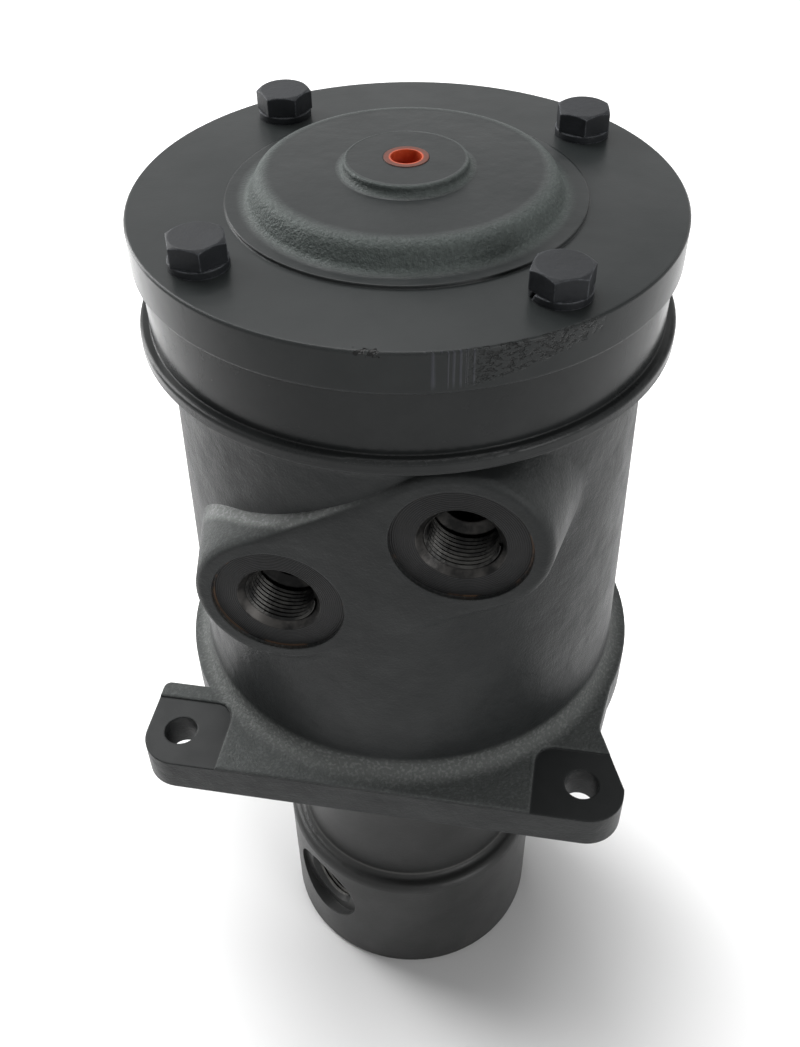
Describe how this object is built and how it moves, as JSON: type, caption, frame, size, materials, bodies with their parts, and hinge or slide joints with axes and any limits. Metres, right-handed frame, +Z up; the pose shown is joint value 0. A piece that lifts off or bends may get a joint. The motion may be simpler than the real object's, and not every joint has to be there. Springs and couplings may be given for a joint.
{
  "type": "hydraulic rotary union",
  "caption": "Centre swivel joint: cast housing with eared flange, ports and bolted domed cover, turning about a ported stem.",
  "frame": {"origin": "centre of the stem's flat foot, on the swivel axis", "axes": "+Z up along the swivel axis to the cover; -Y to the front, where two ports and the flange's ears are; +X to the right seen from the front"},
  "size_m": [0.188, 0.188, 0.4104],
  "materials": {
    "cast_paint": "satin",
    "painted_steel": "satin",
    "stem_steel": "satin",
    "machined_steel": "brushed",
    "nitrile": "matte",
    "ptfe": "matte",
    "plug_plastic": "gloss",
    "bronze": "satin"
  },
  "bodies": {
    "housing": {"housing": "cast_paint", "top_cover": "cast_paint", "cover_bolts": "painted_steel", "spring_washers": "painted_steel", "cover_o_ring": "nitrile", "cover_plug": "plug_plastic", "slipper_seal_1": "ptfe", "slipper_seal_2": "ptfe", "slipper_seal_3": "ptfe", "slipper_seal_4": "ptfe", "slipper_seal_5": "ptfe", "seal_energiser_1": "nitrile", "seal_energiser_2": "nitrile", "seal_energiser_3": "nitrile", "seal_energiser_4": "nitrile", "seal_energiser_5": "nitrile", "upper_thrust_washer": "bronze", "lower_thrust_ring": "bronze", "dust_seal": "nitrile"},
    "stem": {"stem": "stem_steel", "thrust_plate": "machined_steel", "thrust_plate_screws": "machined_steel", "thrust_plate_pin": "machined_steel", "gallery_plugs": "machined_steel"}
  },
  "joints": [
    {"name": "swivel", "type": "hinge", "parent": "housing", "child": "stem", "pos_m": [0, 0, 0.187], "axis": [0, 0, 1], "continuous": true}
  ]
}
